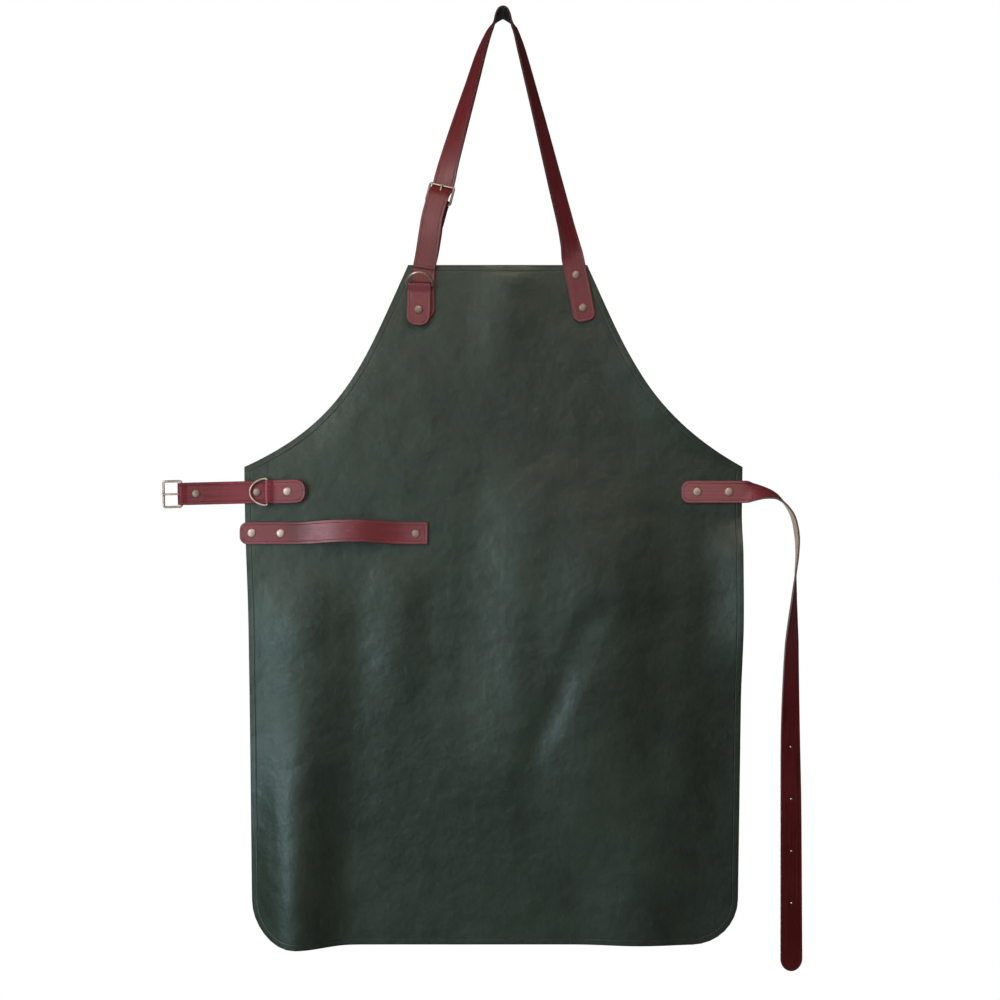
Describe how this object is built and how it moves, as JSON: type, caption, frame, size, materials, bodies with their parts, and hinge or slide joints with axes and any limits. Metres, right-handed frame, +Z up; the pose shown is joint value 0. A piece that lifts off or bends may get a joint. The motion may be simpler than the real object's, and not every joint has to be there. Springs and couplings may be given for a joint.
{
  "type": "leather apron",
  "caption": "Leather work apron hung by its neck strap: bib and skirt panel, buckled neck strap, D-rings on tabs, buckle strap, towel strap and long hanging waist strap, riveted on.",
  "frame": {"origin": "underside of the neck strap at its highest point, where it hangs", "axes": "+Z up, -Y towards the viewer (the apron's front), +X to the viewer's right"},
  "size_m": [0.7679, 0.0482, 1.1551],
  "materials": {
    "panel_leather": "dark green waxed grain with a soft sheen",
    "strap_leather": "burgundy bridle leather, burnished edges, flesh side pale",
    "hardware": "warm nickel plate",
    "rivets": "warm nickel plate, worn"
  },
  "bodies": {
    "root": {"apron_panel": "panel_leather", "neck_strap_long": "strap_leather", "neck_strap_short": "strap_leather", "neck_ring_tab": "strap_leather", "neck_buckle_frame": "hardware", "neck_buckle_prong": "hardware", "waist_strap_short": "strap_leather", "waist_ring_tab": "strap_leather", "waist_strap_long": "strap_leather", "towel_strap": "strap_leather", "neck_tab_rivet": "rivets", "neck_fold_rivet": "rivets", "neck_right_rivet_upper": "rivets", "neck_right_rivet_lower": "rivets", "waist_fold_rivet": "rivets", "waist_ring_rivet": "rivets", "waist_tab_rivet": "rivets", "waist_right_rivet_inner": "rivets", "waist_right_rivet_outer": "rivets", "towel_rivet_outer": "rivets", "towel_rivet_inner": "rivets", "towel_rivet_right": "rivets"},
    "neck_ring": {"neck_ring": "hardware"},
    "waist_ring": {"waist_ring": "hardware"},
    "waist_buckle": {"waist_buckle_frame": "hardware"},
    "waist_prong": {"waist_buckle_prong": "hardware"}
  },
  "joints": [
    {"name": "neck_ring_swing", "type": "hinge", "parent": "root", "child": "neck_ring", "pos_m": [-0.1, -0.0081, -0.3266], "axis": [0.9994, 0, -0.0349], "range_deg": [-46, 95]},
    {"name": "waist_ring_swing", "type": "hinge", "parent": "root", "child": "waist_ring", "pos_m": [-0.28183, -0.0081, -0.57407], "axis": [-0.0244, 0, 0.9997], "range_deg": [0, 150]},
    {"name": "waist_buckle_swing", "type": "hinge", "parent": "root", "child": "waist_buckle", "pos_m": [-0.3855, -0.00115, -0.5766], "axis": [-0.0244, 0, 0.9997], "range_deg": [-30, 35]},
    {"name": "waist_prong_swing", "type": "hinge", "parent": "waist_buckle", "child": "waist_prong", "pos_m": [-0.3855, -0.00115, -0.5766], "axis": [-0.0244, 0, 0.9997], "range_deg": [0, 85]}
  ]
}
